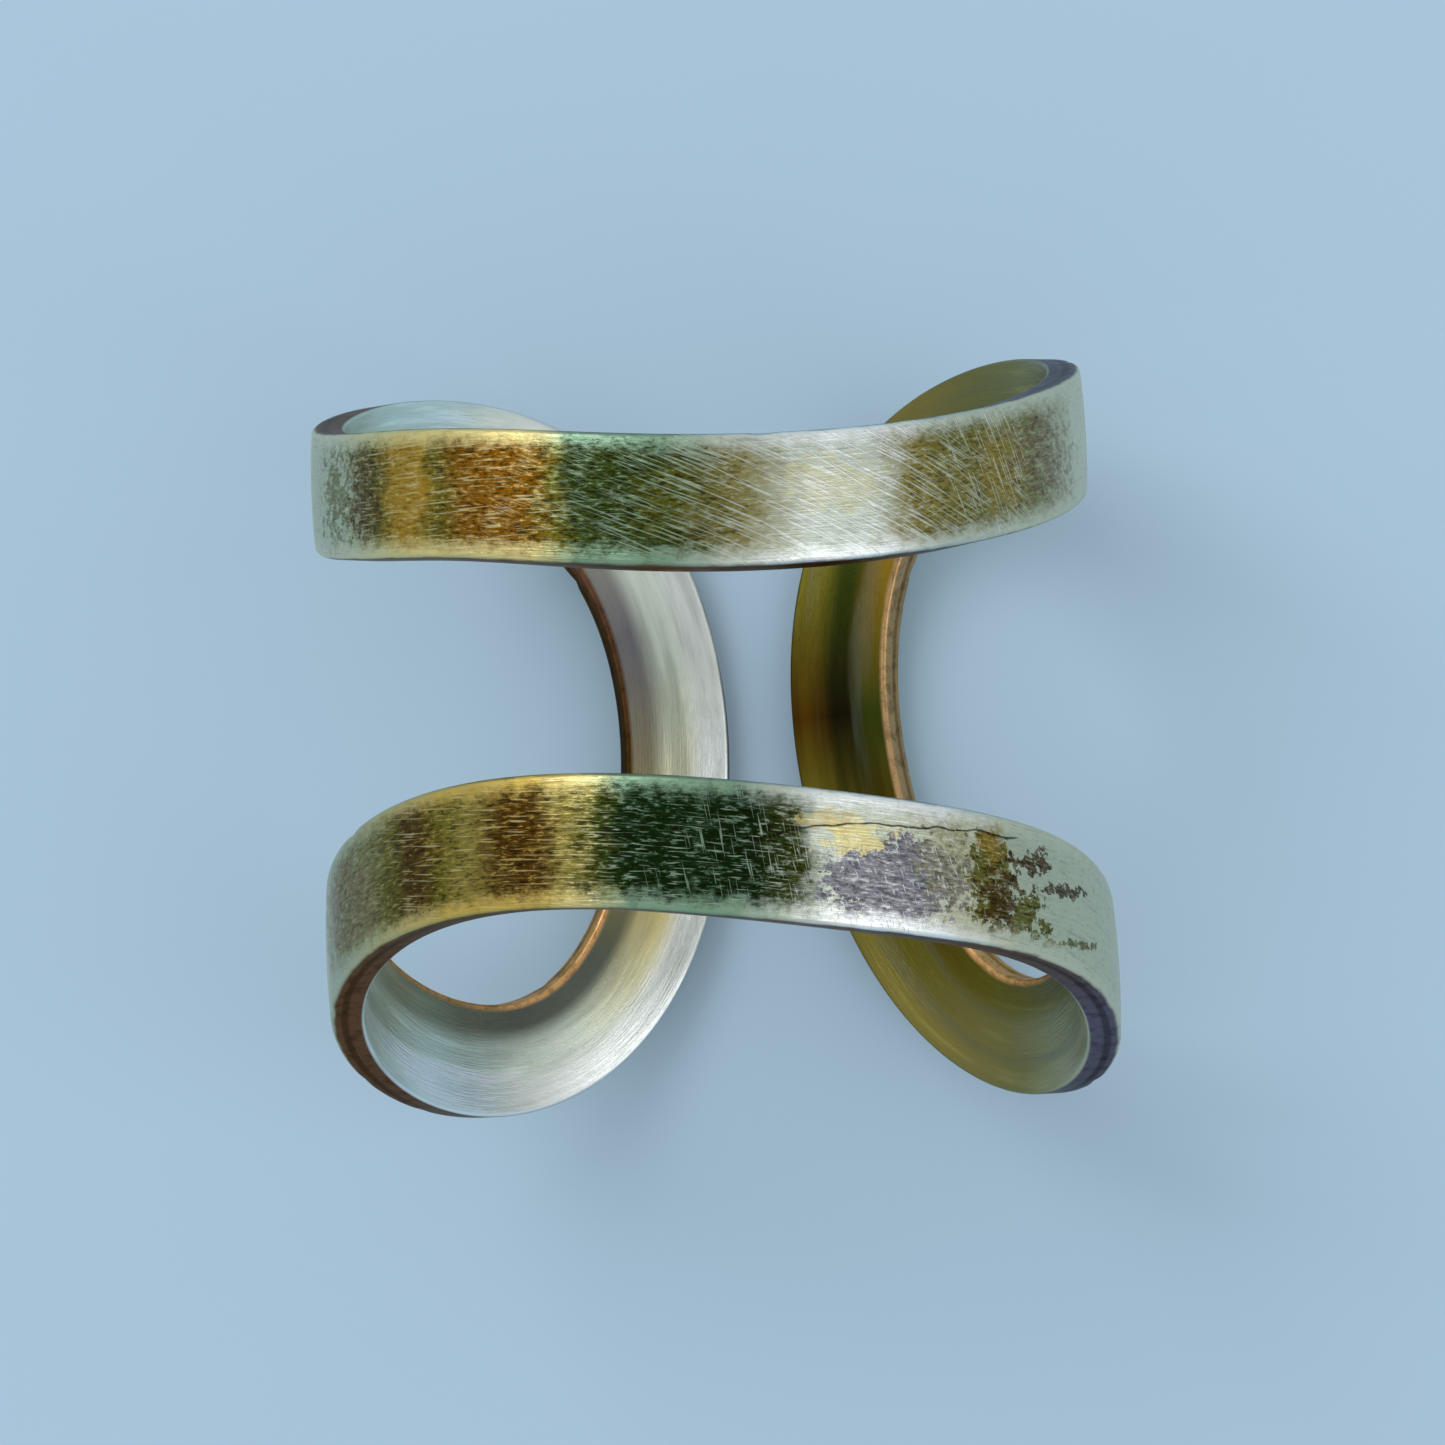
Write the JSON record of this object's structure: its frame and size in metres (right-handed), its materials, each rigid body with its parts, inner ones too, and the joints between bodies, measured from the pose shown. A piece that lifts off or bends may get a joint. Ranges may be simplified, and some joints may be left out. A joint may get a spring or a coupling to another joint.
{
  "type": "adjustable double-bar finger ring",
  "caption": "Open-backed finger ring: one flat silver strip in a closed loop, two bars across the top and a U-turn on each side of a gap at the back.",
  "frame": {"origin": "middle of the finger hole, on its axis, halfway along its length", "axes": "+Y along the finger, +Z from the gap at the back toward the two bars on top"},
  "size_m": [0.02, 0.0202, 0.0199],
  "materials": {
    "silver": "tarnished and scratched silver"
  },
  "bodies": {
    "root": {"band": "silver"}
  },
  "joints": []
}
